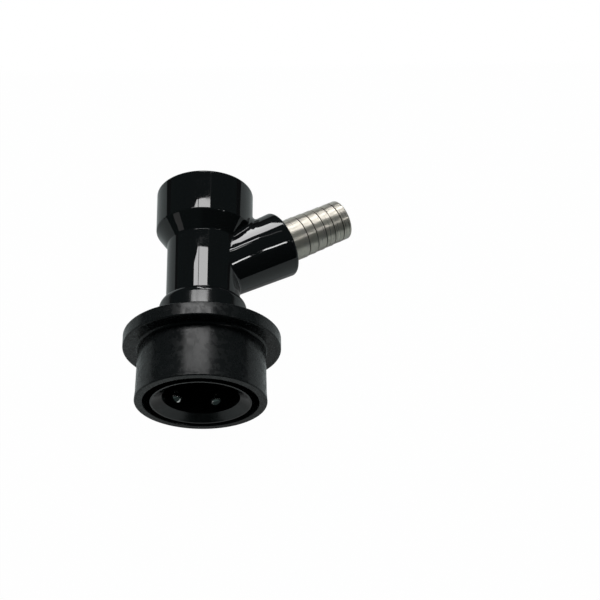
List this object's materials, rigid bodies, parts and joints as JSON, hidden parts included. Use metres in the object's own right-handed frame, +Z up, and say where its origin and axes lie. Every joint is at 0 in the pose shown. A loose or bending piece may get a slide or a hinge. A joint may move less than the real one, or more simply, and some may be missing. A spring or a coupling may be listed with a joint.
{
  "type": "quick coupling",
  "caption": "Plastic ball-lock quick coupling: a sprung collar locks it onto a keg post, and a stainless ribbed hose tail leaves its side at an angle.",
  "frame": {"origin": "centre of the bore that seals on the post, on the coupling's main axis", "axes": "+Z up from the table that the coupling lies on; +Y level, along the coupling toward its cap; +X toward the side that the hose tail leaves from. The main axis dips toward the cap by about 10 degrees, because the coupling rests on its flange edge, head rim and hose tail."},
  "size_m": [0.0478, 0.0522, 0.0323],
  "materials": {
    "black_gloss": "polished moulded black",
    "black_satin": "satin moulded black",
    "stainless": "turned stainless steel",
    "ball_steel": "polished steel",
    "spring_steel": "drawn wire",
    "grey_plastic": "plain moulded grey",
    "seal_rubber": "plain black rubber"
  },
  "bodies": {
    "housing": {"housing": "black_gloss", "top_cap": "black_gloss", "cap_seal": "seal_rubber", "hose_tail": "stainless", "poppet_spring": "spring_steel"},
    "spring": {"collar_spring": "spring_steel"},
    "collar": {"locking_collar": "black_satin"},
    "poppet": {"poppet": "grey_plastic", "poppet_seal": "seal_rubber"},
    "ball_1": {"locking_ball_1": "ball_steel"},
    "ball_2": {"locking_ball_2": "ball_steel"},
    "ball_3": {"locking_ball_3": "ball_steel"},
    "ball_4": {"locking_ball_4": "ball_steel"},
    "ball_5": {"locking_ball_5": "ball_steel"},
    "ball_6": {"locking_ball_6": "ball_steel"}
  },
  "joints": [
    {"name": "collar_spin", "type": "hinge", "parent": "housing", "child": "spring", "pos_m": [0, 0, 0], "axis": [0, 0.9853, -0.1706], "continuous": true},
    {"name": "collar_slide", "type": "slide", "parent": "spring", "child": "collar", "axis": [0, 0.9853, -0.1706], "range_m": [0, 0.0032], "stiffness_N_per_m": 1500, "deforming": ["collar_spring"]},
    {"name": "poppet_slide", "type": "slide", "parent": "housing", "child": "poppet", "axis": [0, 0.9853, -0.1706], "range_m": [0, 0.003], "stiffness_N_per_m": 300, "deforming": ["poppet_spring"]},
    {"name": "ball_1_slide", "type": "slide", "parent": "housing", "child": "ball_1", "axis": [0.977, -0.0364, -0.2102], "range_m": [0, 0.0008369]},
    {"name": "ball_2_slide", "type": "slide", "parent": "housing", "child": "ball_2", "axis": [0.3037, -0.1626, -0.9388], "range_m": [0, 0.0008369]},
    {"name": "ball_3_slide", "type": "slide", "parent": "housing", "child": "ball_3", "axis": [-0.6732, -0.1262, -0.7286], "range_m": [0, 0.0008369]},
    {"name": "ball_4_slide", "type": "slide", "parent": "housing", "child": "ball_4", "axis": [-0.977, 0.0364, 0.2102], "range_m": [0, 0.0008369]},
    {"name": "ball_5_slide", "type": "slide", "parent": "housing", "child": "ball_5", "axis": [-0.3037, 0.1626, 0.9388], "range_m": [0, 0.0008369]},
    {"name": "ball_6_slide", "type": "slide", "parent": "housing", "child": "ball_6", "axis": [0.6732, 0.1262, 0.7286], "range_m": [0, 0.0008369]}
  ],
  "couplings": [
    {"joint": "ball_1_slide", "follows": "collar_slide", "ratio": 0.26154},
    {"joint": "ball_2_slide", "follows": "collar_slide", "ratio": 0.26154},
    {"joint": "ball_3_slide", "follows": "collar_slide", "ratio": 0.26154},
    {"joint": "ball_4_slide", "follows": "collar_slide", "ratio": 0.26154},
    {"joint": "ball_5_slide", "follows": "collar_slide", "ratio": 0.26154},
    {"joint": "ball_6_slide", "follows": "collar_slide", "ratio": 0.26154}
  ]
}
